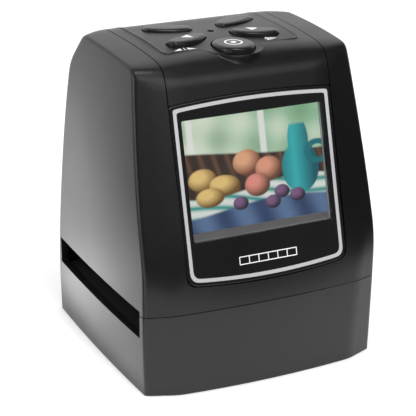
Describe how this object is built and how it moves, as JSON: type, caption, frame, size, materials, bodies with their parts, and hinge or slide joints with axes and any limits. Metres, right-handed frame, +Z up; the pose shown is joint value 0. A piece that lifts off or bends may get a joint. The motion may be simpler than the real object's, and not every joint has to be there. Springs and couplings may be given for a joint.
{
  "type": "film negative scanner",
  "caption": "Upright desktop film scanner with a lit film slot through its base, a tilted screen and push buttons on top.",
  "frame": {"origin": "middle of the footprint, on the surface that it stands on", "axes": "+Z up, -Y towards the user (the screen side), +X to the user's right"},
  "size_m": [0.0826, 0.083, 0.1031],
  "materials": {
    "housing_black": "fine satin texture",
    "housing_grey": "fine satin texture",
    "mask_black": "high gloss",
    "trim_silver": "silver print",
    "window_clear": "clear",
    "gasket_grey": "matt foam",
    "lcd_metal": "pressed sheet",
    "lcd_picture": "lit display",
    "board_green": "solder mask",
    "board_white": "white solder mask",
    "chip_black": "moulded",
    "sensor_glass": "coated",
    "button_black": "satin gloss",
    "plunger_ivory": "moulded",
    "sheet_steel": "bright sheet",
    "jack_black": "moulded",
    "led_white": "frosted",
    "guide_black": "matt, light trapping",
    "diffuser_white": "opal",
    "reflector_white": "matt white",
    "barrel_black": "black anodised",
    "lens_glass": "coated",
    "ribbon_amber": "flexible film",
    "wire_red": "insulation",
    "screw_steel": "zinc plated",
    "foot_rubber": "matt"
  },
  "bodies": {
    "housing": {"upper_housing": "housing_black", "top_cover": "housing_black", "lower_housing": "housing_grey", "screen_mask": "mask_black", "frame_trim": "trim_silver", "window_pane": "window_clear", "lcd_gasket": "gasket_grey", "lcd_frame": "lcd_metal", "lcd_glass": "lcd_picture", "main_board": "board_green", "button_board": "board_green", "sensor_board": "board_green", "port_board": "board_green", "backlight_board": "board_white", "main_chips": "chip_black", "image_sensor": "sensor_glass", "switch_bodies": "sheet_steel", "usb_socket": "sheet_steel", "card_socket": "sheet_steel", "av_jack": "jack_black", "status_led": "led_white", "light_pipe": "led_white", "backlight_leds": "led_white", "film_guide_bottom": "guide_black", "film_guide_top": "guide_black", "optics_tower": "guide_black", "lens_holder": "guide_black", "light_diffuser": "diffuser_white", "light_box": "reflector_white", "lens_barrel": "barrel_black", "lens_elements": "lens_glass", "button_ribbon": "ribbon_amber", "sensor_ribbon": "ribbon_amber", "port_ribbon": "ribbon_amber", "light_cable": "wire_red", "base_screws": "screw_steel", "guide_screws": "screw_steel", "tower_screws": "screw_steel", "sensor_screws": "screw_steel", "button_board_screws": "screw_steel", "rubber_feet": "foot_rubber"},
    "scan_key": {"scan_button": "button_black", "scan_plunger": "plunger_ivory"},
    "mirror_key": {"mirror_button": "button_black", "mirror_plunger": "plunger_ivory"},
    "flip_key": {"flip_button": "button_black", "flip_plunger": "plunger_ivory"},
    "mode_key": {"mode_button": "button_black", "mode_plunger": "plunger_ivory"},
    "power_key": {"power_button": "button_black", "power_plunger": "plunger_ivory"}
  },
  "joints": [
    {"name": "scan_press", "type": "slide", "parent": "housing", "child": "scan_key", "axis": [0, 0, -1], "range_m": [0, 0.0008], "stiffness_N_per_m": 800, "springref_m": -0.0004},
    {"name": "mirror_press", "type": "slide", "parent": "housing", "child": "mirror_key", "axis": [0, 0, -1], "range_m": [0, 0.0008], "stiffness_N_per_m": 800, "springref_m": -0.0004},
    {"name": "flip_press", "type": "slide", "parent": "housing", "child": "flip_key", "axis": [0, 0, -1], "range_m": [0, 0.0008], "stiffness_N_per_m": 800, "springref_m": -0.0004},
    {"name": "mode_press", "type": "slide", "parent": "housing", "child": "mode_key", "axis": [0, 0, -1], "range_m": [0, 0.0008], "stiffness_N_per_m": 800, "springref_m": -0.0004},
    {"name": "power_press", "type": "slide", "parent": "housing", "child": "power_key", "axis": [0, 0, -1], "range_m": [0, 0.0008], "stiffness_N_per_m": 800, "springref_m": -0.0004}
  ]
}
